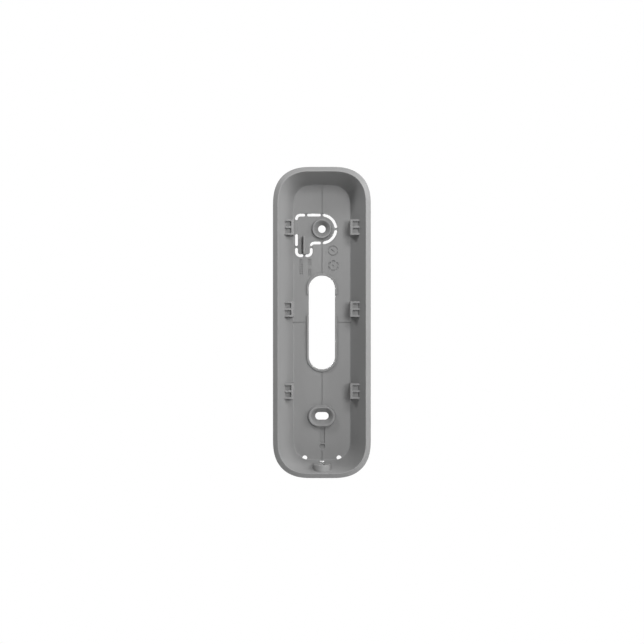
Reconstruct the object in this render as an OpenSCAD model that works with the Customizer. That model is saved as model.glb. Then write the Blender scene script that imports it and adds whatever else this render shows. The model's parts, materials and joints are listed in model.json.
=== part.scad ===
/* [Housing] */
// Width across the rim's outer edge
housing_w = 47.5; // [45:0.5:70]
// Length over the rim's outer edge
housing_l = 150.6; // [146:0.1:200]
// Depth from the wall face to the crest of the rim
housing_d = 18; // [15:0.5:24]
// Corner radius of the rim's outer edge
corner_r = 15.6; // [13:0.1:18]
// Thickness of the back plate
plate_t = 2; // [1.5:0.1:3]
// Width of the sloping rim along the long sides
rim_side_w = 2.65; // [1.8:0.05:3]
// Width of the sloping rim along the two ends
rim_end_w = 2.5; // [1.8:0.1:3]
// Width of the narrow flat on the rim's crest
rim_flat = 0.3; // [0.2:0.1:0.6]
// How far the rim falls away from its crest to its outer edge
rim_drop = 1.6; // [0.5:0.1:2]
// How far each long wall leans in between the rim and the floor
side_lean = 6.95; // [4:0.05:8]
// How far each end wall leans in between the rim and the floor
end_lean = 4.65; // [3:0.05:6]
// Corner radius of the floor
floor_corner_r = 8.4; // [5:0.1:9]

/* [Cable slot] */
// Width of the cable slot
slot_w = 13; // [8:0.5:16]
// Length of the cable slot
slot_l = 46.5; // [30:0.5:60]
// Width of the lip round the cable slot
lip_w = 1.1; // [0.8:0.1:2]
// Height of the lip above the floor
lip_h = 0.8; // [0.4:0.1:2]
// Length of the gap in each long side of the lip
lip_gap_l = 10.4; // [4:0.2:14]
// Height of the middle of those gaps above the middle of the housing
lip_gap_z = 8.7; // [0:0.1:12]

/* [Wall screws] */
// Distance between the two wall screws
screw_spacing = 92.6; // [88:0.2:100]
// Diameter of the screw holes
screw_hole_d = 3.8; // [3:0.1:4.6]
// Diameter of the countersinks at the top of the bosses
countersink_d = 8; // [6:0.1:8.6]
// Thickness of the land under the countersinks, at the wall face
screw_land_t = 1; // [0.5:0.1:1.4]
// Height of both bosses above the floor
boss_h = 2.2; // [1:0.1:3]
// Diameter of the upper boss
upper_boss_d = 9.4; // [8.8:0.1:11]
// Length of the lower screw slot, across the housing
lower_slot_l = 6.7; // [5:0.1:8]
// Width of the lower boss, from top to bottom
lower_boss_d = 9.9; // [8.8:0.1:11]
// Length of the lower boss, across the housing
lower_boss_l = 13.2; // [12:0.1:16]

/* [Break-away tamper plate] */
// Distance from the upper screw to the outline's left edge
tamper_left = 12.6; // [10:0.1:12.8]
// Radius of the outline round the upper screw
tamper_r = 6.9; // [6:0.1:8]
// Distance from the upper screw to the outline's lower edge
tamper_drop = 13.2; // [11:0.1:16]
// Width of the outline's leg
tamper_leg_w = 7.3; // [5:0.1:9]
// Width of the gap along the outline
tamper_gap = 1.4; // [0.8:0.1:1.8]
// Radius of the outline's outer corners
tamper_corner_r = 1.9; // [1.2:0.1:2.5]
// Radius of the outline's inner corner
tamper_fillet_r = 1.5; // [1:0.1:2.5]
// Distance from the outline's left edge to the web at the left of its top
web_inset = 4.8; // [3.5:0.1:6]
// Distance from the upper screw down to the webs on both sides of the leg
leg_web_drop = 8.9; // [8.6:0.1:10.5]
// Width of each thin web
web_w = 1; // [0.5:0.1:1.5]
// Thickness of each thin web, in the middle of the plate's thickness
web_t = 1; // [0.5:0.1:1.5]
// Lowest point of the wide bridge, from the upper screw
bridge_from = -2.5; // [-4:0.1:0]
// Highest point of the wide bridge, from the upper screw
bridge_to = 4.4; // [2:0.1:5]
// Hair gap where the webs snap off the plate
snap_gap = 0.05; // [0.03:0.01:0.1]
// Distance from the middle of the leg to the fin, towards the right
fin_shift = 0.25; // [-0.5:0.05:0.5]
// Thickness of the fin on the leg
fin_t = 1.3; // [0.8:0.1:2]
// Length of the fin
fin_l = 8.9; // [6:0.1:9.5]
// Height of the fin above the floor
fin_h = 3; // [1:0.1:6]

/* [Catches] */
// Distance between neighbouring catches
catch_pitch = 40; // [30:0.5:44]
// Height of the middle catches above the middle of the housing
catch_z = 6.5; // [0:0.1:10]
// Length of each catch, up and down the wall
catch_l = 7.6; // [6:0.1:10]
// Height of the catches above the floor
catch_h = 9.6; // [7:0.1:11]
// How far each catch reaches in past the edge of the floor
catch_reach = 0.35; // [0:0.05:1]
// Thickness of each catch's inner bar
catch_bar_t = 1.2; // [0.8:0.1:1.8]
// Thickness of each catch's three ribs
catch_rib_t = 0.9; // [0.6:0.1:1.4]
// Depth of the pockets between the ribs
pocket_d = 1.4; // [1:0.1:5]

/* [Lock screw boss] */
// Radius of the boss
lock_boss_r = 4.2; // [3.5:0.1:5]
// Height of the lock screw's axis above the floor
lock_axis_h = 10.4; // [9:0.1:11]
// Distance from the edge of the floor out to the boss's end face
lock_boss_gap = 0.85; // [0.7:0.05:1.2]
// Diameter of the lock screw's hole
lock_hole_d = 3.2; // [2.5:0.1:4]
// Diameter of the recess for the lock screw's head
lock_head_d = 6.2; // [5:0.1:7]
// Thickness of the seat under the lock screw's head
lock_seat_t = 2.8; // [2:0.1:3]
// Width of the slit beside the boss's end face
slit_w = 2.4; // [1:0.1:4]
// Height of that slit
slit_l = 0.7; // [0.4:0.05:0.7]

/* [Floor details] */
// Diameter of the two drain holes
drain_d = 2.4; // [1.5:0.1:3.5]
// Distance between the drain holes
drain_spacing = 16.8; // [12:0.2:20]
// Distance from the edge of the floor to the drain holes
drain_inset = 1.15; // [1:0.05:3]
// Width of the engraved centre lines
line_w = 0.5; // [0.3:0.05:0.8]
// Depth of the engraved centre lines
line_d = 0.4; // [0.1:0.05:0.6]
// Length of the engraved line below the groove
foot_line_l = 4.3; // [2:0.1:5]
// Gap between the engraved cross lines and the cable slot's edge
cross_line_gap = 1.5; // [1.2:0.1:3]
// Width of the groove under the lower boss
groove_w = 2.6; // [1.5:0.1:4]
// Length of the groove below the boss
groove_l = 8.4; // [6:0.1:9]
// Depth of the groove and of the round dimple below it
groove_d = 0.8; // [0.3:0.1:1.2]
// Diameter of the dimple
dimple_d = 2.7; // [1.5:0.1:3]
// Distance from the end of the groove to the middle of the dimple
dimple_gap = 1.9; // [1.8:0.1:2]

/* [Hidden] */

plastic = [0.56, 0.56, 0.56];
plastic_pale = [0.62, 0.62, 0.62];
round_fn = 96;
hull_fn = 32;
// Thickness of the slices that a hull joins, and how far a cutter runs past a face
slab = 0.01;
past = 1;

// The tray: sizes of its opening, floor and wall face
rim_h = housing_d - rim_drop;
open_w = housing_w - 2 * rim_side_w;
open_l = housing_l - 2 * rim_end_w;
open_r = corner_r - (rim_side_w + rim_end_w) / 2;
floor_w = open_w - 2 * side_lean;
floor_l = open_l - 2 * end_lean;
depth_in = housing_d - plate_t;
side_slope = side_lean / depth_in;
end_slope = end_lean / depth_in;
corner_slope = (open_r - floor_corner_r) / depth_in;
foot_w = housing_w - 2 * side_slope * rim_h;
foot_l = housing_l - 2 * end_slope * rim_h;
foot_r = floor_corner_r + (foot_w - floor_w) / 2 - side_slope * plate_t;

// Screws
hole_r = screw_hole_d / 2;
countersink_r = countersink_d / 2;
screw_z = screw_spacing / 2;
boss_top = plate_t + boss_h;
lower_reach = (lower_slot_l - screw_hole_d) / 2;

// Tamper outline, in the upper screw's own frame
leg_right = tamper_leg_w - tamper_left;
fin_x = leg_right - tamper_leg_w / 2 + fin_shift;

// Lock screw
lock_z = -floor_l / 2 - lock_boss_gap;
lock_h = plate_t + lock_axis_h;

// Half the distance across the tray's inside at height h above the wall face
function inner_x(h) = floor_w / 2 + side_slope * (h - plate_t);
function inner_z(h) = floor_l / 2 + end_slope * (h - plate_t);

// Raises an outline drawn in width and length from height h0 to height h1 above the wall face
module raise(h0, h1) {
    translate([0, -h0, 0])
        rotate([90, 0, 0])
            linear_extrude(height = h1 - h0)
                children();
}

module rounded_rect(w, l, r, n) {
    square([w, l - 2 * r], center = true);
    square([w - 2 * r, l], center = true);
    for (x = [-1, 1])
        for (z = [-1, 1])
            translate([x * (w / 2 - r), z * (l / 2 - r)])
                circle(r = r, $fn = n);
}

// A slot with round ends, l long and w wide, running across the housing
module stadium(l, w) {
    square([l - w, w], center = true);
    for (x = [-1, 1])
        translate([x * (l - w) / 2, 0])
            circle(d = w, $fn = round_fn);
}

module floor_outline() {
    rounded_rect(floor_w, floor_l, floor_corner_r, round_fn);
}

module cable_slot(grow) {
    rotate(90)
        stadium(slot_l + 2 * grow, slot_w + 2 * grow);
}

// The inside of the tray, above the floor
module tray_space() {
    top = housing_d + past;
    hull() {
        raise(plate_t, plate_t + slab)
            rounded_rect(floor_w, floor_l, floor_corner_r, hull_fn);
        raise(top - slab, top)
            rounded_rect(2 * inner_x(top), 2 * inner_z(top), open_r + corner_slope * past, hull_fn);
    }
}

// The outside of the tray, from the wall face to the rim's crest
module tray_body() {
    hull() {
        raise(0, slab)
            rounded_rect(foot_w, foot_l, foot_r, hull_fn);
        raise(rim_h - slab, rim_h)
            rounded_rect(housing_w, housing_l, corner_r, hull_fn);
        raise(housing_d - slab, housing_d)
            rounded_rect(open_w + 2 * rim_flat, open_l + 2 * rim_flat, open_r + rim_flat, hull_fn);
    }
}

// The tamper plate's outline, moved outwards by grow
module tamper_outline(grow) {
    fillet = tamper_fillet_r - grow;
    corner = tamper_corner_r + grow;
    bottom = -tamper_drop - grow;
    left = -tamper_left - grow;
    right = leg_right + grow;
    top = tamper_r + grow;
    translate([0, screw_z]) {
        circle(r = top, $fn = round_fn);
        translate([left + corner, -top])
            square([-left - corner, 2 * top]);
        translate([left, bottom + corner])
            square([corner, top - bottom - 2 * corner]);
        translate([left + corner, bottom])
            square([right - left - 2 * corner, top - bottom]);
        translate([right - corner, bottom + corner])
            square([corner, -bottom - corner]);
        for (p = [[left + corner, top - corner], [left + corner, bottom + corner], [right - corner, bottom + corner]])
            translate(p)
                circle(r = corner, $fn = round_fn);
        difference() {
            translate([right, -top - fillet])
                square([fillet, fillet]);
            translate([right + fillet, -top - fillet])
                circle(r = fillet, $fn = round_fn);
        }
    }
}

// Places where thin webs cross the gap round the tamper plate, upwards and sideways
module web_places() {
    reach = 2 * tamper_gap;
    translate([0, screw_z]) {
        for (p = [[web_inset - tamper_left, tamper_r], [0, tamper_r], [0, -tamper_r], [fin_x, -tamper_drop]])
            translate(p)
                square([web_w, reach], center = true);
        for (p = [[tamper_r, 0], [leg_right, -leg_web_drop], [-tamper_left, -leg_web_drop]])
            translate(p)
                square([reach, web_w], center = true);
    }
}

// Place of the wide bridge across the gap
module bridge_place() {
    translate([-tamper_left - tamper_gap, screw_z + bridge_from])
        square([2 * tamper_gap, bridge_to - bridge_from]);
}

// The gap round the tamper plate, less the hair gap where the webs snap
module web_gap() {
    difference() {
        tamper_outline(tamper_gap / 2);
        tamper_outline(snap_gap - tamper_gap / 2);
    }
}

module engraved_lines() {
    lip_z = slot_l / 2 + lip_w;
    gap_z = tamper_r + tamper_gap / 2;
    spans = [
        [-floor_l / 2, -floor_l / 2 + foot_line_l],
        [-screw_z + lower_boss_d / 2, -lip_z],
        [lip_z, screw_z - gap_z],
        [screw_z + gap_z, floor_l / 2]
    ];
    for (s = spans)
        translate([-line_w / 2, s[0]])
            square([line_w, s[1] - s[0]]);
    for (side = [-1, 1])
        translate([side * (slot_w / 2 + cross_line_gap + floor_w / 2) / 2, 0])
            square([(floor_w - slot_w) / 2 - cross_line_gap, line_w], center = true);
}

module groove_outline() {
    groove_end = -screw_z - lower_boss_d / 2 - groove_l;
    translate([-groove_w / 2, groove_end])
        square([groove_w, groove_l]);
    translate([0, groove_end - dimple_gap])
        circle(d = dimple_d, $fn = round_fn);
}

module back_plate() {
    color(plastic)
        difference() {
            raise(0, plate_t)
                floor_outline();
            raise(-past, plate_t + past)
                cable_slot(0);
            raise(-past, plate_t + past)
                tamper_outline(tamper_gap / 2);
            raise(-past, plate_t + past)
                translate([0, -screw_z])
                    stadium(lower_slot_l, screw_hole_d);
            translate([0, 0, -screw_z])
                countersink_slot();
            for (x = [-1, 1])
                translate([x * drain_spacing / 2, past, drain_inset - floor_l / 2])
                    rotate([90, 0, 0])
                        cylinder(d = drain_d, h = plate_t + 2 * past, $fn = round_fn);
            raise(plate_t - line_d, plate_t + past)
                engraved_lines();
            raise(plate_t - groove_d, plate_t + past)
                groove_outline();
        }
}

module side_wall() {
    head_z = lock_z - lock_seat_t;
    color(plastic)
        difference() {
            tray_body();
            tray_space();
            raise(-past, plate_t)
                floor_outline();
            translate([0, -lock_h, lock_z - housing_l / 2])
                cylinder(d = lock_hole_d, h = housing_l / 2 + past, $fn = round_fn);
            translate([0, -lock_h, head_z - housing_l / 2])
                cylinder(d = lock_head_d, h = housing_l / 2, $fn = round_fn);
            raise(-past, lock_h)
                translate([-slit_w / 2, lock_z])
                    square([slit_w, slit_l]);
        }
}

module cable_slot_lip() {
    color(plastic_pale)
        raise(plate_t, plate_t + lip_h)
            difference() {
                cable_slot(lip_w);
                cable_slot(0);
                translate([0, lip_gap_z])
                    square([slot_w + 4 * lip_w, lip_gap_l], center = true);
            }
}

// A countersunk seat, from the land at the wall face to the top of a boss
module countersink_cone() {
    translate([0, -screw_land_t, 0])
        rotate([90, 0, 0])
            cylinder(h = boss_top - screw_land_t, r1 = hole_r, r2 = countersink_r, $fn = round_fn);
}

// The same seat drawn out across the housing, for the lower screw slot
module countersink_slot() {
    for (x = [-1, 1])
        translate([x * lower_reach, 0, 0])
            countersink_cone();
    translate([-lower_reach, 0, 0])
        rotate([90, 0, 90])
            linear_extrude(height = 2 * lower_reach)
                polygon([
                    [-screw_land_t, -hole_r], [-boss_top, -countersink_r],
                    [-boss_top, countersink_r], [-screw_land_t, hole_r]
                ]);
}

module lower_screw_boss() {
    color(plastic_pale)
        translate([0, 0, -screw_z])
            difference() {
                raise(plate_t, boss_top)
                    stadium(lower_boss_l, lower_boss_d);
                countersink_slot();
            }
}

module lock_screw_boss() {
    top = lock_h + lock_boss_r;
    low = plate_t + lock_boss_gap / end_slope;
    color(plastic)
        difference() {
            intersection() {
                translate([0, -lock_h, lock_z - housing_l / 2]) {
                    cylinder(r = lock_boss_r, h = housing_l / 2, $fn = round_fn);
                    translate([-lock_boss_r, 0, 0])
                        cube([2 * lock_boss_r, lock_h, housing_l / 2]);
                }
                rotate([90, 0, 90])
                    linear_extrude(height = 4 * lock_boss_r, center = true)
                        polygon([[-low, lock_z], [-top, lock_z], [-top, -inner_z(top)]]);
            }
            translate([0, -lock_h, lock_z - housing_l / 2])
                cylinder(d = lock_hole_d, h = housing_l / 2 + past, $fn = round_fn);
        }
}

// One catch on the right-hand wall, with two pockets open to the front
module catch(z) {
    x0 = floor_w / 2 - catch_reach;
    top = plate_t + catch_h;
    deep = top - pocket_d;
    pocket_l = (catch_l - 3 * catch_rib_t) / 2;
    color(plastic_pale)
        translate([0, 0, z])
            difference() {
                linear_extrude(height = catch_l, center = true)
                    polygon([[x0, -plate_t], [inner_x(plate_t), -plate_t], [inner_x(top), -top], [x0, -top]]);
                for (side = [-1, 1])
                    translate([x0 + catch_bar_t, -top - past, side * (pocket_l + catch_rib_t) / 2 - pocket_l / 2])
                        cube([side_lean + past, past + top - deep, pocket_l]);
            }
}

module mirrored_catch(z) {
    mirror([1, 0, 0])
        catch(z);
}

module left_upper_catch() {
    mirrored_catch(catch_z + catch_pitch);
}

module left_middle_catch() {
    mirrored_catch(catch_z);
}

module left_lower_catch() {
    mirrored_catch(catch_z - catch_pitch);
}

module right_upper_catch() {
    catch(catch_z + catch_pitch);
}

module right_middle_catch() {
    catch(catch_z);
}

module right_lower_catch() {
    catch(catch_z - catch_pitch);
}

// Thin webs and one wide bridge, across the gap from the back plate to the tamper plate
module break_webs() {
    color(plastic) {
        raise((plate_t - web_t) / 2, (plate_t + web_t) / 2)
            intersection() {
                web_gap();
                web_places();
            }
        raise(0, plate_t)
            intersection() {
                web_gap();
                bridge_place();
            }
    }
}

module tamper_plate() {
    color(plastic)
        difference() {
            raise(0, plate_t)
                tamper_outline(-tamper_gap / 2);
            translate([0, past, screw_z])
                rotate([90, 0, 0])
                    cylinder(r = hole_r, h = plate_t + 2 * past, $fn = round_fn);
            translate([0, 0, screw_z])
                countersink_cone();
        }
}

module upper_screw_boss() {
    color(plastic_pale)
        translate([0, 0, screw_z])
            difference() {
                raise(plate_t, boss_top)
                    circle(d = upper_boss_d, $fn = round_fn);
                countersink_cone();
            }
}

module tamper_fin() {
    edge = screw_z - tamper_drop + tamper_gap / 2;
    color(plastic_pale)
        raise(plate_t, plate_t + fin_h)
            translate([fin_x - fin_t / 2, edge])
                square([fin_t, fin_l]);
}

back_plate();
side_wall();
cable_slot_lip();
lower_screw_boss();
lock_screw_boss();
left_upper_catch();
left_middle_catch();
left_lower_catch();
right_upper_catch();
right_middle_catch();
right_lower_catch();
break_webs();
tamper_plate();
upper_screw_boss();
tamper_fin();
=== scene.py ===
"""Wall bracket of a video doorbell: one matt grey moulding with a break-away tamper plate. All in metres."""

import json
import math

import bmesh
import bpy
import numpy as np
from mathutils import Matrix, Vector
from mathutils.geometry import tessellate_polygon


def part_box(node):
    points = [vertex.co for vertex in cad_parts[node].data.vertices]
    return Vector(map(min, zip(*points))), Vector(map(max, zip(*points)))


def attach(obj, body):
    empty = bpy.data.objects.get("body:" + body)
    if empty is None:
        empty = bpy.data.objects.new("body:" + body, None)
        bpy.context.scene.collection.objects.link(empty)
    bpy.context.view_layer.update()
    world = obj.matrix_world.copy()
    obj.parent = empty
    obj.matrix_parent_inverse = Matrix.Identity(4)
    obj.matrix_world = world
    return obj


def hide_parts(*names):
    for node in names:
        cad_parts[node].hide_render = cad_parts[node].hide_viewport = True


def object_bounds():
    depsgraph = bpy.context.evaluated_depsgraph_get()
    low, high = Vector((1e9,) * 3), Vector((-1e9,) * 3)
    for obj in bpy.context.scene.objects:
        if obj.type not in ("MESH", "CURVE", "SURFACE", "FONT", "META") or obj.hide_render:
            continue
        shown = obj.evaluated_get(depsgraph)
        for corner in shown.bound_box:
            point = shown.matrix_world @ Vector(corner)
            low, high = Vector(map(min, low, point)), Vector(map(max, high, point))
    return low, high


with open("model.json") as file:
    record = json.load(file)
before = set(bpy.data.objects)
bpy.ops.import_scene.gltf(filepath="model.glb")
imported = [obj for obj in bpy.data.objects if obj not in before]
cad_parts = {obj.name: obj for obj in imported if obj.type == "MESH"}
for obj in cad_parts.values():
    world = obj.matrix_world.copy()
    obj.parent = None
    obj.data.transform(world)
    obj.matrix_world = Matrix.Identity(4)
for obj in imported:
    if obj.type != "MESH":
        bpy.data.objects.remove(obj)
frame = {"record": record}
cad_low, cad_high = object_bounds()

# ---- Camera ------------------------------------------------------------------------------------------------
# It looks straight into the open front of the bracket, from a little over half a metre.

mm = 0.001
rim_to_camera = 593 * mm
frame_width = 310.4 * mm
camera_data = bpy.data.cameras.new("camera")
camera_data.sensor_width = 36
camera_data.lens = camera_data.sensor_width * rim_to_camera / frame_width
camera_data.clip_start = 0.01
camera = bpy.data.objects.new("camera", camera_data)
camera.location = (0.05 * mm, cad_low.y - rim_to_camera, 0.24 * mm)
camera.rotation_euler = (math.radians(90), 0, 0)
bpy.context.scene.collection.objects.link(camera)
bpy.context.scene.camera = camera

# ---- Housing shell -----------------------------------------------------------------------------------------
# The tray: a flat floor, four walls that lean in towards it, and a rim that slopes back from its crest. It is
# injection moulded in one shot of matt grey plastic, and all its other features grow out of it.

wall_y = cad_high.y
floor_low, floor_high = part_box("back_plate")
plate_t = floor_high.y - floor_low.y
floor_half = np.array([floor_high.x, floor_high.z])
rim_half = np.array([cad_high.x, cad_high.z])
rim_h = wall_y - cad_low.y
mounts = {m["name"]: m for m in frame["record"]["mounts"]}
crest_inset = np.array([2.65, 2.5]) * mm
rim_drop = 1.6 * mm
lean = (rim_half - crest_inset - floor_half) / (rim_h - plate_t)


def outline(arcs, grow=0.0, per_turn=72):
    """Points of a closed outline of arcs joined by straight lines, run anticlockwise as seen from the front.
    Each arc is (centre x, centre z, radius, first angle, last angle), and a hollow one has its last angle
    below its first. Growing the outline adds to the radius of a round arc and takes it off a hollow one."""
    points = []
    for x, z, r, first, last in arcs:
        steps = max(4, math.ceil(abs(last - first) / 360 * per_turn))
        a = np.radians(np.linspace(first, last, steps + 1))
        reach = r + grow if last > first else r - grow
        points.append(np.stack([x + reach * np.cos(a), z + reach * np.sin(a)], 1))
    points = np.concatenate(points)
    kept = np.linalg.norm(points - np.roll(points, 1, 0), axis=1) > 1e-8
    return points[kept]


def stadium(length, width, turn=0, x=0.0, z=0.0):
    """Arcs of a slot with round ends, lying across the bracket, or along it with a turn of 90."""
    c, s = math.cos(math.radians(turn)), math.sin(math.radians(turn))
    half = (length - width) / 2
    return [(x + half * c, z + half * s, width / 2, turn - 90, turn + 90),
            (x - half * c, z - half * s, width / 2, turn + 90, turn + 270)]


def disc(x, z, r):
    """Arcs of a full circle."""
    return [(x, z, r, 0, 360)]


def rounded_box(x0, x1, z0, z1, r):
    """Arcs of a rectangle with rounded corners."""
    return [(x1 - r, z0 + r, r, -90, 0), (x1 - r, z1 - r, r, 0, 90),
            (x0 + r, z1 - r, r, 90, 180), (x0 + r, z0 + r, r, 180, 270)]


def at_height(points, h):
    """Places (x, z) points at height h above the wall face."""
    return np.stack([points[:, 0], np.full(len(points), wall_y - h), points[:, 1]], 1)


def strip(rings):
    """Vertices and faces of the band through a stack of closed rings with equal numbers of points."""
    rings = np.asarray(rings)
    m, n = rings.shape[:2]
    i, j = np.meshgrid(np.arange(m - 1), np.arange(n), indexing="ij")
    k = (j + 1) % n
    faces = np.stack([i * n + j, i * n + k, (i + 1) * n + k, (i + 1) * n + j], -1).reshape(-1, 4)
    return rings.reshape(-1, 3), faces


def cap(rings):
    """Vertices and faces of the flat area inside the first ring and outside the others."""
    flat = [[Vector((p[0], p[2], 0)) for p in ring] for ring in rings]
    return np.concatenate(rings), np.array(tessellate_polygon(flat))


def rolled(arcs, side, high, low, high_r, low_r=0.0, steps=4):
    """Rings down the edge of an outline from height high to low, with a quarter round at each end. Side is -1
    on the outside of a solid and 1 round a hole. A quarter round moves the edge by r times 1 - sin of an
    angle and lowers it by r times 1 - cos of it."""
    q = np.linspace(0, math.pi / 2, steps)
    rings = [at_height(outline(arcs, side * high_r * (1 - math.sin(a))), high - high_r * (1 - math.cos(a)))
             for a in q]
    if low_r:
        rings += [at_height(outline(arcs, side * low_r * (1 - math.sin(a))), low + low_r * (1 - math.cos(a)))
                  for a in q[::-1]]
    else:
        rings.append(at_height(outline(arcs), low))
    return rings


def mesh_piece(name, parts, body, replaced, crease=40, bend=None):
    """Joins bands and caps into one closed mesh, turns its faces outwards and makes it ride on its body."""
    verts = np.concatenate([v for v, _ in parts])
    starts = np.cumsum([0] + [len(v) for v, _ in parts[:-1]])
    faces = [tuple(f) for start, (_, part) in zip(starts, parts) for f in (part + start).tolist()]
    if bend is not None:
        verts = bend(verts)
    mesh = bpy.data.meshes.new(name)
    mesh.from_pydata(verts.tolist(), [], faces)
    welded = bmesh.new()
    welded.from_mesh(mesh)
    bmesh.ops.remove_doubles(welded, verts=welded.verts, dist=2e-7)
    bmesh.ops.dissolve_degenerate(welded, edges=welded.edges, dist=1e-8)
    bmesh.ops.recalc_face_normals(welded, faces=welded.faces)
    welded.to_mesh(mesh)
    welded.free()
    mesh.shade_smooth()
    mesh.set_sharp_from_angle(angle=math.radians(crease))
    piece = bpy.data.objects.new(name, mesh)
    bpy.context.scene.collection.objects.link(piece)
    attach(piece, body)
    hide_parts(*replaced)
    return piece


def even_shading(piece):
    """Adds a modifier that gives flat faces flat shading right up to their rounded edges."""
    weighted = piece.modifiers.new("even_shading", "WEIGHTED_NORMAL")
    weighted.keep_sharp = True


def flat_faces_flat(mesh):
    """Marks as sharp each edge with just one of its two faces square to the wall, so that long slim triangles
    on a flat face take no shading from a curve beside them."""
    normals = np.empty(len(mesh.polygons) * 3)
    corners = np.empty(len(mesh.polygons), int)
    edges = np.empty(len(mesh.loops), int)
    mesh.polygons.foreach_get("normal", normals)
    mesh.polygons.foreach_get("loop_total", corners)
    mesh.loops.foreach_get("edge_index", edges)
    is_flat = abs(normals[1::3]) > 0.99999
    beside = np.bincount(edges, np.repeat(is_flat, corners), len(mesh.edges))
    sharp = np.empty(len(mesh.edges), bool)
    mesh.attributes["sharp_edge"].data.foreach_get("value", sharp)
    mesh.attributes["sharp_edge"].data.foreach_set("value", sharp | (beside == 1))


class Wire:
    """A shader socket that can be used in sums: each operator adds one Math node."""

    def __init__(self, tree, socket=None):
        self.tree, self.socket = tree, socket

    def node(self, kind, settings, inputs, output=0):
        """Adds a node of any type, makes its settings first, then fills or links its sockets."""
        made = self.tree.nodes.new(kind)
        for setting, value in settings.items():
            setattr(made, setting, value)
        for socket, value in inputs.items():
            if isinstance(value, Wire):
                self.tree.links.new(value.socket, made.inputs[socket])
            else:
                made.inputs[socket].default_value = value
        return Wire(self.tree, made.outputs[output])

    def _sum(self, operation, first, second):
        return self.node("ShaderNodeMath", {"operation": operation}, {0: first, 1: second})

    def __add__(self, other):
        return self._sum("ADD", self, other)

    def __radd__(self, other):
        return self._sum("ADD", other, self)

    def __sub__(self, other):
        return self._sum("SUBTRACT", self, other)

    def __rsub__(self, other):
        return self._sum("SUBTRACT", other, self)

    def __mul__(self, other):
        return self._sum("MULTIPLY", self, other)

    def __rmul__(self, other):
        return self._sum("MULTIPLY", other, self)


def moulded_grey(name, shade=0.24, shine=0.5):
    """Matt grey plastic from a spark-eroded mould: a fine even grain, faint flow marks and faint clouding."""
    material = bpy.data.materials.new(name)
    material.use_nodes = True
    tree = material.node_tree
    surface = tree.nodes["Principled BSDF"]
    wire = Wire(tree)
    place = wire.node("ShaderNodeTexCoord", {}, {}, "Object")
    grain = wire.node("ShaderNodeTexNoise", {}, {
        "Vector": place, "Scale": 3400.0, "Detail": 2.0, "Roughness": 0.6})
    pits = wire.node("ShaderNodeTexVoronoi", {}, {"Vector": place, "Scale": 2300.0, "Randomness": 1.0})
    cloud = wire.node("ShaderNodeTexNoise", {}, {
        "Vector": place, "Scale": 60.0, "Detail": 3.0, "Roughness": 0.5})
    stretch = wire.node("ShaderNodeMapping", {}, {"Vector": place, "Scale": (1.0, 1.0, 0.12)})
    flow = wire.node("ShaderNodeTexNoise", {}, {
        "Vector": stretch, "Scale": 420.0, "Detail": 2.0, "Distortion": 0.6})
    tone = (cloud - 0.5) * 0.5 + (flow - 0.5) * 0.22 + (grain - 0.5) * 0.3 + 0.5
    colour = wire.node("ShaderNodeMix", {"data_type": "RGBA"}, {
        "Factor": tone,
        "A": (shade * 0.93, shade * 0.93, shade * 0.93, 1),
        "B": (shade * 1.07, shade * 1.07, shade * 1.07, 1)}, "Result")
    rough = (grain - 0.5) * 0.22 + (cloud - 0.5) * 0.12 + shine
    relief = grain * 0.7 + pits * 0.5
    bump = wire.node("ShaderNodeBump", {}, {"Strength": 0.25, "Distance": 0.00003, "Height": relief})
    for socket, value in (("Base Color", colour), ("Roughness", rough), ("Normal", bump)):
        tree.links.new(value.socket, surface.inputs[socket])
    surface.inputs["IOR"].default_value = 1.49
    surface.inputs["Specular IOR Level"].default_value = 0.4
    return material


housing_grey = moulded_grey("housing_grey")


def tray_rings(stations, corner_steps=22, side_steps=30):
    """Rings round the tray, one for each station: half width, half length, corner radius, squareness, height.
    Each corner is a quarter of a superellipse: the radius times cos and sin of an angle, both raised to two
    over the squareness, so that 2 gives a circle and more gives a fuller corner. Points on the straight sides
    crowd towards the middle, by the square of their distance from it."""
    half_w, half_l, r, square, h = np.asarray(stations, float).T[:, :, None]
    angle = np.linspace(0, math.pi / 2, corner_steps)[None]
    across_w, along_l = half_w - r, half_l - r
    x = across_w + r * np.cos(angle).clip(0) ** (2 / square)
    z = along_l + r * np.sin(angle).clip(0) ** (2 / square)
    u = np.linspace(1, -1, side_steps + 2)[None, 1:-1]
    u = u * abs(u)
    flat = np.ones_like(u)
    upper_x = [x, across_w * u, -x[:, ::-1], -half_w * flat]
    upper_z = [z, half_l * flat, z[:, ::-1], along_l * u]
    x = np.concatenate(upper_x + [-part for part in upper_x], 1)
    z = np.concatenate(upper_z + [-part for part in upper_z], 1)
    return np.stack([x, np.broadcast_to(wall_y - h, x.shape), z], -1)


def soften(corners, radii, steps=5):
    """Stations along a path through the corners, each corner eased by a curve that starts and ends at its
    radius from it: a blend of the three points with weights (1 - t) squared, 2 t (1 - t) and t squared."""
    corners = np.asarray(corners, float)
    span = np.linalg.norm(np.diff(corners[:, [0, 4]], axis=0), axis=1)
    path = [corners[:1]]
    t = np.linspace(0, 1, steps)[:, None]
    for i, radius in enumerate(radii, 1):
        before = corners[i] + (corners[i - 1] - corners[i]) * min(radius / span[i - 1], 0.5)
        after = corners[i] + (corners[i + 1] - corners[i]) * min(radius / span[i], 0.5)
        path.append((1 - t) ** 2 * before + 2 * t * (1 - t) * corners[i] + t ** 2 * after)
    path.append(corners[-1:])
    return np.concatenate(path)


def station(h, half, r, square):
    """One station of the tray's section, in metres."""
    return [half[0], half[1], r, square, h]


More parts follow.
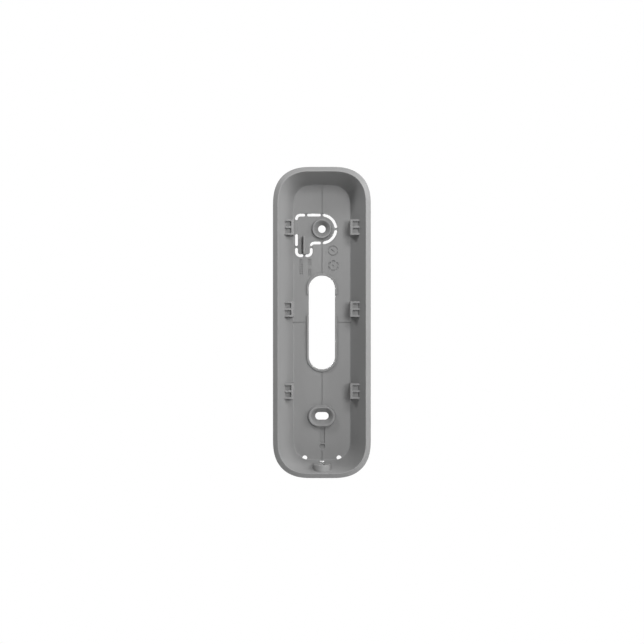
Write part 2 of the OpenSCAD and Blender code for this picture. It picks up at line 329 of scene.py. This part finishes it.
rim_r, rim_square = 18.75 * mm, 2.5
floor_r, floor_square = 10.7 * mm, 2.5
crest_half = rim_half - crest_inset
crest_r = rim_r - crest_inset[0]
outer_lean = lean * (rim_h - rim_drop)
floor_inner = floor_half - 0.8 * mm
edge_r = 0.12 * mm
section = soften(
    [station(plate_t, floor_inner, floor_r - 0.8 * mm, floor_square),
     station(plate_t, floor_half, floor_r, floor_square),
     station(rim_h, crest_half, crest_r, rim_square),
     station(rim_h, crest_half + 0.3 * mm, crest_r + 0.3 * mm, rim_square),
     station(rim_h - rim_drop, rim_half, rim_r, rim_square),
     station(0, rim_half - outer_lean, rim_r - outer_lean[0] * 0.7, rim_square),
     station(0, rim_half - outer_lean - 0.6 * mm, rim_r - outer_lean[0] * 0.7 - 0.6 * mm, rim_square)],
    [0.7 * mm, 0.25 * mm, 0.25 * mm, 0.35 * mm, 0.3 * mm])
shell = tray_rings(section)

# Openings in the floor, and the groove and dimple that are cut into its front
lip_low, lip_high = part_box("cable_slot_lip")
lip_w = 1.1 * mm
slot_arcs = stadium(lip_high.z - lip_low.z - 2 * lip_w, lip_high.x - lip_low.x - 2 * lip_w, 90)
screw = mounts["upper_screw_hole"]
screw_x, _, screw_z = screw["pos_m"]
screw_r = screw["dims"]["r_mm"] * mm
gap = 1.4 * mm
plate_low, plate_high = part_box("tamper_plate")
tamper_r = plate_high.x + gap / 2
tamper_left, tamper_bottom = plate_low.x - gap / 2, plate_low.z - gap / 2
leg_w = 7.3 * mm
leg_right = tamper_left + leg_w
corner, hollow = 1.9 * mm, 1.5 * mm
tamper_arcs = [
    (screw_x, screw_z, tamper_r, -90, 90),
    (tamper_left + corner, screw_z + tamper_r - corner, corner, 90, 180),
    (tamper_left + corner, tamper_bottom + corner, corner, 180, 270),
    (leg_right - corner, tamper_bottom + corner, corner, 270, 360),
    (leg_right + hollow, screw_z - tamper_r - hollow, hollow, 180, 90)]


def regrown(arcs, grow):
    """The same arcs after the outline has grown."""
    return [(x, z, r + grow if last > first else r - grow, first, last) for x, z, r, first, last in arcs]


tamper_hole = regrown(tamper_arcs, gap / 2)
seat_low, seat_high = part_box("lower_screw_boss")
lower_z = mounts["lower_screw_slot"]["pos_m"][2]
lower_slot_l = 6.7 * mm
lower_hole = stadium(lower_slot_l, 2 * screw_r, 0, 0, lower_z)
groove_x, groove_w = 0.18 * mm, 2.5 * mm
groove_l = 8.4 * mm
groove_end = seat_low.z - groove_l
groove = rounded_box(groove_x - groove_w / 2, groove_x + groove_w / 2, groove_end, seat_low.z + mm, 0.35 * mm)
dimple_z, dimple_r = groove_end - 1.9 * mm, 1.3 * mm
dimple_corner, dimple_corner_r = 0.75 * mm, 0.5 * mm
dimple = [(groove_x, dimple_z, dimple_r, 180, 360),
          (groove_x + dimple_corner, dimple_z + dimple_corner, dimple_corner_r, 0, 90),
          (groove_x - dimple_corner, dimple_z + dimple_corner, dimple_corner_r, 90, 180)]

boss_top = wall_y - seat_low.y
land_t, seat_r = 1 * mm, 4 * mm
cone_slope = (seat_r - screw_r) / (boss_top - land_t)


def coned(arcs):
    """Rings of a countersunk screw hole through the floor: the part of its cone that lies in the floor, then
    the straight land, then a rounded edge at the wall face."""
    land = [at_height(outline(arcs), land_t), at_height(outline(arcs), 2 * edge_r)]
    foot = rolled(arcs, 1, mm, 0, 0.0, edge_r)[-4:]
    return [at_height(outline(arcs, cone_slope * (plate_t - land_t)), plate_t)] + land + foot


holes = [(slot_arcs, edge_r), (tamper_hole, edge_r)]
pockets = [(groove, 0.8 * mm, 0.12 * mm), (dimple, 0.9 * mm, 0.12 * mm)]


# Moulder's marks, cut half a millimetre deep: two round ones and two short columns of plain ticks.
# They are generic: they say nothing and stand for nothing.
def ring_arc(x, z, r, width, first, last):
    """Arcs of a curved bar with round ends that follows a circle from one angle to another."""
    a0, a1 = math.radians(first), math.radians(last)
    return [(x, z, r + width / 2, first, last),
            (x + r * math.cos(a1), z + r * math.sin(a1), width / 2, last, last + 180),
            (x, z, r - width / 2, last, first),
            (x + r * math.cos(a0), z + r * math.sin(a0), width / 2, first + 180, first + 360)]


mark_r, mark_w, mark_d = 2.3 * mm, 0.52 * mm, 0.5 * mm
upper_mark, lower_mark = (5.4 * mm, 35.5 * mm), (5.6 * mm, 28.0 * mm)
marks = [ring_arc(*upper_mark, mark_r, mark_w, a, a + 150) for a in (15, 195)]
upper_bar_l, lower_bar_l = 2.2 * mm, 1.6 * mm
marks += [stadium(upper_bar_l, mark_w, -45, *upper_mark), stadium(lower_bar_l, mark_w, -50, *lower_mark)]
marks += [ring_arc(*lower_mark, mark_r, 1.7 * mark_w, a, a + 24) for a in (15, 75, 135, 195, 255, 315)]
tick_columns = [(-10.3, 24.2, 31.0, 7), (-6.0, 28.8, 31.0, 3), (-6.0, 23.5, 26.4, 4)]
tick_l, tick_w = 1.8 * mm, 0.4 * mm
for x, first, last, count in tick_columns:
    marks += [stadium(tick_l, tick_w, 0, x * mm, float(z)) for z in np.linspace(first, last, count) * mm]

hole_rings = [rolled(arcs, 1, plate_t, 0, r, r) for arcs, r in holes] + [coned(lower_hole)]
pocket_rings = [rolled(arcs, 1, plate_t, plate_t - deep, r) for arcs, deep, r in pockets]
pocket_rings += [[at_height(outline(arcs), h) for h in (plate_t, plate_t - mark_d)] for arcs in marks]
parts = [strip(shell)]
parts.append(cap([shell[0]] + [r[0] for r in hole_rings + pocket_rings]))
parts.append(cap([shell[-1]] + [r[-1] for r in hole_rings]))
parts += [strip(r) for r in hole_rings + pocket_rings]
parts += [cap([r[-1]]) for r in pocket_rings]
housing = mesh_piece("housing_shell", parts, "housing", ["back_plate", "side_wall"])


def cut(piece, tool):
    """Cuts a closed tool out of a piece for good, and deletes the tool."""
    boolean = piece.modifiers.new("cut", "BOOLEAN")
    boolean.operation, boolean.solver, boolean.object = "DIFFERENCE", "EXACT", tool
    bpy.context.view_layer.update()
    done = bpy.data.meshes.new_from_object(piece.evaluated_get(bpy.context.evaluated_depsgraph_get()))
    piece.modifiers.clear()
    old, piece.data = piece.data, done
    done.name = piece.name
    bpy.data.meshes.remove(old)
    bpy.data.objects.remove(tool)


def tool_from(verts, faces):
    """A closed solid that is used only to cut."""
    mesh = bpy.data.meshes.new("tool")
    mesh.from_pydata(verts.tolist(), [], faces)
    welded = bmesh.new()
    welded.from_mesh(mesh)
    bmesh.ops.recalc_face_normals(welded, faces=welded.faces)
    welded.to_mesh(mesh)
    welded.free()
    tool = bpy.data.objects.new("tool", mesh)
    bpy.context.scene.collection.objects.link(tool)
    return tool


def across(arcs, low, high):
    """A tool that runs through the floor, between two heights."""
    verts, quads = strip([at_height(outline(arcs), low), at_height(outline(arcs), high)])
    n = len(verts) // 2
    return tool_from(verts, [tuple(f) for f in quads.tolist()] + [tuple(range(n)), tuple(range(n, 2 * n))])


def along(x, h, radii, ends):
    """A round tool with its axis along the bracket, at height h, through the given ends and radii."""
    a = np.radians(np.arange(0, 360, 6))
    rings = [np.stack([x + r * np.cos(a), wall_y - h + r * np.sin(a), np.full(len(a), z)], 1)
             for r, z in zip(radii, ends)]
    verts, quads = strip(rings)
    discs = [tuple(range(len(a))), tuple(range(len(verts) - len(a), len(verts)))]
    return tool_from(verts, [tuple(f) for f in quads.tolist()] + discs)


lock = mounts["lock_screw_hole"]
lock_h = wall_y - lock["pos_m"][1]
lock_r = lock["dims"]["r_mm"] * mm
lock_low, lock_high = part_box("lock_screw_boss")
lock_seat_z = lock_high.z - lock["dims"]["length_mm"] * mm
drain_x, drain_z, drain_r = 8.45 * mm, floor_low.z + 1.15 * mm, 1.2 * mm
for side in (-1, 1):
    cut(housing, across(disc(side * drain_x, drain_z, drain_r), -mm, plate_t + 0.3 * mm))
slit_half, slit_l = 1.2 * mm, 0.6 * mm
slit = rounded_box(-slit_half, slit_half, lock_high.z, lock_high.z + slit_l, 0.2 * mm)
cut(housing, across(slit, -mm, 6 * mm))
head_r = 3.1 * mm
cut(housing, along(0, lock_h, [lock_r, lock_r], [lock_high.z + 2 * mm, cad_low.z - mm]))
cut(housing, along(0, lock_h, [head_r, head_r], [lock_seat_z, cad_low.z - mm]))

# Fine centre lines, engraved in the floor and through the foot of each wall
line_w, line_d = 0.5 * mm, 0.4 * mm
foot_line_l, past_floor = 4.3 * mm, 0.25 * mm
line_spans = [(floor_low.z - past_floor, floor_low.z + foot_line_l),
              (seat_high.z - mm / 2, lip_low.z + mm / 2),
              (lip_high.z - mm / 2, screw_z - tamper_r - gap / 2 + mm / 4),
              (screw_z + tamper_r + gap / 2 - mm / 4, floor_high.z + past_floor)]
lines = [(-line_w / 2, line_w / 2, z0, z1) for z0, z1 in line_spans]
cross_x0, cross_x1 = lip_high.x + 0.4 * mm, floor_high.x + past_floor
lines += [(x0, x1, -line_w / 2, line_w / 2) for x0, x1 in ((-cross_x1, -cross_x0), (cross_x0, cross_x1))]
for x0, x1, z0, z1 in lines:
    cut(housing, across(rounded_box(x0, x1, z0, z1, 0.1 * mm), plate_t - line_d, plate_t + mm))
housing.data.shade_smooth()
housing.data.set_sharp_from_angle(angle=math.radians(40))
flat_faces_flat(housing.data)
even_shading(housing)
housing.data.materials.clear()
housing.data.materials.append(housing_grey)

# ---- Cable slot lip ----------------------------------------------------------------------------------------
# A low ridge round the slot for the wires, moulded with the floor. It is left off on both sides, level with
# the middle catches.

sunk = 0.3 * mm
inside = 0.02 * mm


def block(name, arcs, low, high, edge, body, replaced, material, through=(),
          bend=None):
    """A raised flat-topped piece with a rounded upper edge, with the rings of any holes through it."""
    outer = rolled(arcs, -1, high, low, edge)
    parts = [strip(outer)]
    parts += [cap([outer[end]] + [r[end] for r in through]) for end in (0, -1)]
    parts += [strip(r) for r in through]
    piece = mesh_piece(name, parts, body, replaced, 40, bend)
    even_shading(piece)
    piece.data.materials.append(material)
    return piece


lip_in = lip_high.x - lip_w + inside
lip_out = lip_high.x
bend_z = lip_high.z - lip_out
gap_top, gap_bottom = 13.9 * mm, 3.5 * mm
tip = 0.25 * mm
upper_lip = [
    (0, bend_z, lip_out, 0, 180),
    (tip - lip_out, gap_top + tip, tip, 180, 270), (-lip_in - tip, gap_top + tip, tip, 270, 360),
    (0, bend_z, lip_in, 180, 0),
    (lip_in + tip, gap_top + tip, tip, 180, 270), (lip_out - tip, gap_top + tip, tip, 270, 360)]
lower_lip = [
    (0, -bend_z, lip_out, 180, 360),
    (lip_out - tip, gap_bottom - tip, tip, 0, 90), (lip_in + tip, gap_bottom - tip, tip, 90, 180),
    (0, -bend_z, lip_in, 360, 180),
    (-lip_in - tip, gap_bottom - tip, tip, 0, 90), (tip - lip_out, gap_bottom - tip, tip, 90, 180)]
lip_top = wall_y - lip_low.y
for name, arcs in (("cable_slot_lip_upper", upper_lip), ("cable_slot_lip_lower", lower_lip)):
    block(name, arcs, plate_t - sunk, lip_top, 0.2 * mm, "housing", ["cable_slot_lip"], housing_grey)

# ---- Screw bosses ------------------------------------------------------------------------------------------
# Each wall screw passes through a raised boss whose top is countersunk for the screw's head. The lower hole
# is a slot, so that the bracket can be levelled before its screws are tightened.


def screw_boss(name, outer, seat, hole, low, high, body, replaced):
    """Rings from the boss's foot, which spreads a little over the floor, up its side, over its flat top and
    down the countersink to the land, a hair inside the cone that the floor has of its own."""
    edge = 0.18 * mm
    rise = [at_height(outline(outer, 0.45 * mm), low - sunk),
            at_height(outline(outer, 0.45 * mm), low),
            at_height(outline(outer, 0.16 * mm), low + 0.09 * mm),
            at_height(outline(outer, 0.05 * mm), low + 0.3 * mm)]
    rise += rolled(outer, -1, high, low + 0.35 * mm, edge)[:-1][::-1]
    seat_edge = 0.12 * mm
    dish = [at_height(outline(seat, seat_edge), high),
            at_height(outline(seat, 0.3 * seat_edge), high - 0.03 * mm),
            at_height(outline(seat, -cone_slope * seat_edge), high - seat_edge),
            at_height(outline(hole, -inside), land_t), at_height(outline(hole, -inside), land_t - sunk)]
    rings = rise + dish
    piece = mesh_piece(name, [strip(rings + rings[:1])], body, replaced, 50)
    even_shading(piece)
    piece.data.materials.append(housing_grey)
    return piece


lower_reach = (lower_slot_l - 2 * screw_r) / 2
boss_length, boss_width = seat_high.x - seat_low.x, seat_high.z - seat_low.z
screw_boss("lower_screw_boss_dished", stadium(boss_length, boss_width, 0, 0, lower_z),
           stadium(2 * (lower_reach + seat_r), 2 * seat_r, 0, 0, lower_z), lower_hole,
           plate_t, boss_top, "housing", ["lower_screw_boss"])
upper_low, upper_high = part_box("upper_screw_boss")
upper_r = (upper_high.x - upper_low.x) / 2
screw_boss("upper_screw_boss_dished", disc(screw_x, screw_z, upper_r), disc(screw_x, screw_z, seat_r),
           disc(screw_x, screw_z, screw_r), plate_t, wall_y - upper_low.y, "tamper_plate_body",
           ["upper_screw_boss"])

# ---- Lock screw boss ---------------------------------------------------------------------------------------
# A half-round boss that stands out of the bottom wall. The lock screw that keeps the doorbell on its bracket
# is driven up through it from below.

boss_r = (lock_high.x - lock_low.x) / 2
turn = np.radians(np.linspace(0, 180, 33))
foot = 6.5 * mm
side_x = np.concatenate([[boss_r * 1.04], boss_r * np.cos(turn), [-boss_r * 1.04]])
side_h = np.concatenate([[lock_h - foot], lock_h + boss_r * np.sin(turn), [lock_h - foot]])


def boss_ring(inset, z):
    """The boss's arched section, drawn in by inset, at z along the bracket."""
    shrink = 1 - inset / boss_r
    x = side_x * shrink
    h = np.where(side_h >= lock_h, lock_h + (side_h - lock_h) * shrink, side_h)
    return np.stack([x, wall_y - h, np.full(len(x), z)], 1)


edge = 0.35 * mm
q = np.linspace(0, math.pi / 2, 5)
end_z, boss_l = lock_high.z, 4.2 * mm
arch = [boss_ring(edge * (1 - math.sin(a)), end_z - edge * (1 - math.cos(a))) for a in q]
arch.append(boss_ring(0, end_z - boss_l))
hole_turn = np.radians(np.linspace(-90, 270, 49)[:-1])
hole_ring = np.stack([lock_r * np.cos(hole_turn), wall_y - lock_h - lock_r * np.sin(hole_turn),
                      np.full(len(hole_turn), end_z)], 1)
face_loops = [[Vector((p[0], -p[1], 0)) for p in ring] for ring in (arch[0], hole_ring)]
face = (np.concatenate([arch[0], hole_ring]), np.array(tessellate_polygon(face_loops)))
back_ring = hole_ring - [0, 0, boss_l]
bore = strip([hole_ring, back_ring])
back_loops = [[Vector((p[0], -p[1], 0)) for p in ring] for ring in (arch[-1], back_ring)]
back = (np.concatenate([arch[-1], back_ring]), np.array(tessellate_polygon(back_loops)))


def follow_bottom_wall(points):
    """Pulls the back of the boss in to 0.8 mm inside the leaning bottom wall."""
    h = wall_y - points[:, 1]
    wall_z = -(floor_half[1] + lean[1] * (h - plate_t)) - 0.8 * mm
    out = points.copy()
    out[:, 2] = np.where(points[:, 2] < end_z - 4 * mm, wall_z, points[:, 2])
    return out


lock_boss = mesh_piece("lock_screw_boss_arch", [strip(arch), face, bore, back], "housing",
                       ["lock_screw_boss"], 45, follow_bottom_wall)
even_shading(lock_boss)
lock_boss.data.materials.append(housing_grey)

# ---- Catches -----------------------------------------------------------------------------------------------
# Six blocks on the long walls, which the hooks of the doorbell slide onto. Each is an inner bar and three
# ribs, with two pockets between them that are open to the front.

bar_t, rib_t, pocket_d = 1.2 * mm, 0.9 * mm, 1.4 * mm
in_wall = 0.5 * mm
for side_name, side in (("left", -1), ("right", 1)):
    for level in ("upper", "middle", "lower"):
        node = f"{side_name}_{level}_catch"
        low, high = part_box(node)
        x0 = min(abs(low.x), abs(high.x))
        top = wall_y - low.y
        wall_x = floor_half[0] + lean[0] * (top - plate_t)
        block_r, pocket_r = 0.22 * mm, 0.25 * mm
        pocket_l = (high.z - low.z - 3 * rib_t) / 2
        body_arcs = rounded_box(x0, wall_x + in_wall, low.z, high.z, block_r)
        pocket_arcs = [rounded_box(x0 + bar_t, wall_x + in_wall / 2, z, z + pocket_l, pocket_r)
                       for z in (low.z + rib_t, low.z + 2 * rib_t + pocket_l)]
        outer = rolled(body_arcs, -1, top, plate_t - sunk, 0.2 * mm)
        dips = [rolled(arcs, 1, top, top - pocket_d, 0.12 * mm) for arcs in pocket_arcs]
        parts = [strip(outer), cap([outer[0]] + [d[0] for d in dips]), cap([outer[-1]])]
        parts += [strip(d) for d in dips] + [cap([d[-1]]) for d in dips]

        def lean_with_wall(points):
            """Narrows the block towards the floor as the wall leans in, then mirrors a left-hand one."""
            h = wall_y - points[:, 1]
            reach = (floor_half[0] + lean[0] * (h.clip(plate_t, None) - plate_t) + in_wall - x0)
            full = wall_x + in_wall - x0
            return np.stack([side * (x0 + (points[:, 0] - x0) * reach / full), points[:, 1], points[:, 2]], 1)

        catch = mesh_piece(f"{node}_block", parts, "housing", [node], 40, lean_with_wall)
        even_shading(catch)
        catch.data.materials.append(housing_grey)

# ---- Tamper plate ------------------------------------------------------------------------------------------
# An L-shaped plate in the floor that the upper wall screw holds. If the bracket is torn off, it breaks away
# and stays on the wall. The gap round it is a row of slots with round ends, with webs between them.

block("tamper_plate_blank", regrown(tamper_arcs, -gap / 2), 0, plate_t, edge_r, "tamper_plate_body",
      ["tamper_plate"], housing_grey, [coned(disc(screw_x, screw_z, screw_r))])
fin_low, fin_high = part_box("tamper_fin")


def draft_fin(points):
    """Thins the fin by a tenth of a millimetre on each side towards its top."""
    h = (wall_y - points[:, 1] - plate_t) / (fin_high.y - fin_low.y)
    middle = (fin_low.x + fin_high.x) / 2
    out = points.copy()
    out[:, 0] = middle + (points[:, 0] - middle) * (1 - 0.16 * h.clip(0, 1))
    return out


block("tamper_fin_blade", rounded_box(fin_low.x, fin_high.x, fin_low.z, fin_high.z, 0.3 * mm), plate_t - sunk,
      wall_y - fin_low.y, 0.22 * mm, "tamper_plate_body", ["tamper_fin"], housing_grey,
      bend=draft_fin)

# Webs between the slots: waisted bars, as wide as web_w at the middle of the gap, half a millimetre in from
# both faces. The bridge beside the left upper catch is as thick as the floor.
web_w = 1.0 * mm
web_high, web_low_h = plate_t - 0.5 * mm, 0.5 * mm
web_inset, leg_web_drop = 4.8 * mm, 8.9 * mm
leg_web_z = screw_z - leg_web_drop
bridge_middle, bridge_l = 0.95 * mm, 6.9 * mm
fin_x = (fin_low.x + fin_high.x) / 2
web_places = [
    ("top_left", web_inset + tamper_left, screw_z + tamper_r, 90, web_w),
    ("top", screw_x, screw_z + tamper_r, 90, web_w),
    ("side", screw_x + tamper_r, screw_z, 0, web_w),
    ("bottom", screw_x, screw_z - tamper_r, -90, web_w),
    ("leg_side", leg_right, leg_web_z, 0, web_w),
    ("leg_end", fin_x, tamper_bottom, -90, web_w),
    ("leg_outer", tamper_left, leg_web_z, 180, web_w),
    ("bridge", tamper_left, screw_z + bridge_middle, 180, bridge_l)]


def waisted(x, z, turn, width, shrink=0.0, steps=20):
    """Points of a web across the gap, turned about its own middle. Its half width at a distance from the
    middle of the gap is half the web's width plus r less the root of r squared less that distance squared,
    so each side is a hollow half round. Its inner end stops a hair short of the plate."""
    r = gap / 2
    along = np.linspace(-r + 0.05 * mm, r + 0.12 * mm, steps)
    half = width / 2 + r - np.sqrt((r ** 2 - along.clip(-r, r) ** 2).clip(0)) - shrink
    along = np.concatenate([along, along[::-1]])
    over = np.concatenate([-half, half[::-1]])
    c, s = math.cos(math.radians(turn)), math.sin(math.radians(turn))
    return np.stack([x + along * c - over * s, z + along * s + over * c], 1)


for web_name, x, z, turn, width in web_places:
    thick = width > web_w
    web_top, web_bottom = (plate_t, 0) if thick else (web_high, web_low_h)
    rings = [at_height(waisted(x, z, turn, width, 0.05 * mm), web_top),
             at_height(waisted(x, z, turn, width), web_top - 0.05 * mm),
             at_height(waisted(x, z, turn, width), web_bottom)]
    web = mesh_piece(f"break_web_{web_name}", [strip(rings), cap([rings[0]]), cap([rings[-1]])], "housing",
                     ["break_webs"])
    even_shading(web)
    web.data.materials.append(housing_grey)

# ---- Stage and light ---------------------------------------------------------------------------------------
# A small pale floor well below the bracket, a white surround, and soft lamps: the main ones to the right, one
# close by at the upper left, a weak one below, and one straight behind, whose light passes through the slot.

floor_drop = 0.13
floor_z = cad_low.z - floor_drop
floor_mesh = bpy.data.meshes.new("pale_floor")
floor_x, floor_front, floor_back = 0.45, -0.35, 0.14
floor_corners = [(-floor_x, floor_front, floor_z), (floor_x, floor_front, floor_z),
                 (floor_x, floor_back, floor_z), (-floor_x, floor_back, floor_z)]
floor_mesh.from_pydata(floor_corners, [], [(0, 1, 2, 3)])
pale_floor = bpy.data.objects.new("pale_floor", floor_mesh)
bpy.context.scene.collection.objects.link(pale_floor)
paint = bpy.data.materials.new("pale_floor")
paint.use_nodes = True
paint_wire = Wire(paint.node_tree)
speck = paint_wire.node("ShaderNodeTexNoise", {}, {
    "Vector": paint_wire.node("ShaderNodeTexCoord", {}, {}, "Object"), "Scale": 90.0, "Detail": 3.0})
paint_surface = paint.node_tree.nodes["Principled BSDF"]
paint.node_tree.links.new((speck * 0.04 + 0.8).socket, paint_surface.inputs["Base Color"])
floor_mesh.materials.append(paint)

world = bpy.data.worlds.new("surround")
bpy.context.scene.world = world
world.use_nodes = True
sky = Wire(world.node_tree)
seen = sky.node("ShaderNodeLightPath", {}, {}, "Is Camera Ray")
surround = world.node_tree.nodes["Background"]
surround.inputs["Color"].default_value = (1, 1, 1, 1)
ambient = 0.1
world.node_tree.links.new((seen * (1 - ambient) + ambient).socket, surround.inputs["Strength"])


def soft_lamp(name, direction, distance, size, power):
    """A square lamp on a line from the bracket's middle, facing it."""
    lamp_data = bpy.data.lights.new(name, "AREA")
    lamp_data.shape, lamp_data.size, lamp_data.energy = "SQUARE", size, power
    lamp = bpy.data.objects.new(name, lamp_data)
    aim = Vector(direction).normalized()
    lamp.location = aim * distance
    lamp.rotation_euler = aim.to_track_quat("Z", "Y").to_euler()
    lamp.visible_camera = False
    bpy.context.scene.collection.objects.link(lamp)


soft_lamp("key", (0.36, -1, 0.12), 0.8, 0.2, 1.95)
soft_lamp("key_near", (0.27, -1, 0.6), 0.45, 0.12, 0.7)
soft_lamp("side", (1, -0.5, 0.5), 0.6, 0.3, 2.9)
soft_lamp("upper_left", (-1, -1, 1.5), 0.36, 0.08, 0.5)
soft_lamp("low_fill", (0.3, -0.7, -1), 0.5, 0.3, 0.4)
soft_lamp("behind", (0, 1, 0), 0.9, 0.25, 3.2)
bpy.context.scene.view_settings.view_transform = "Standard"
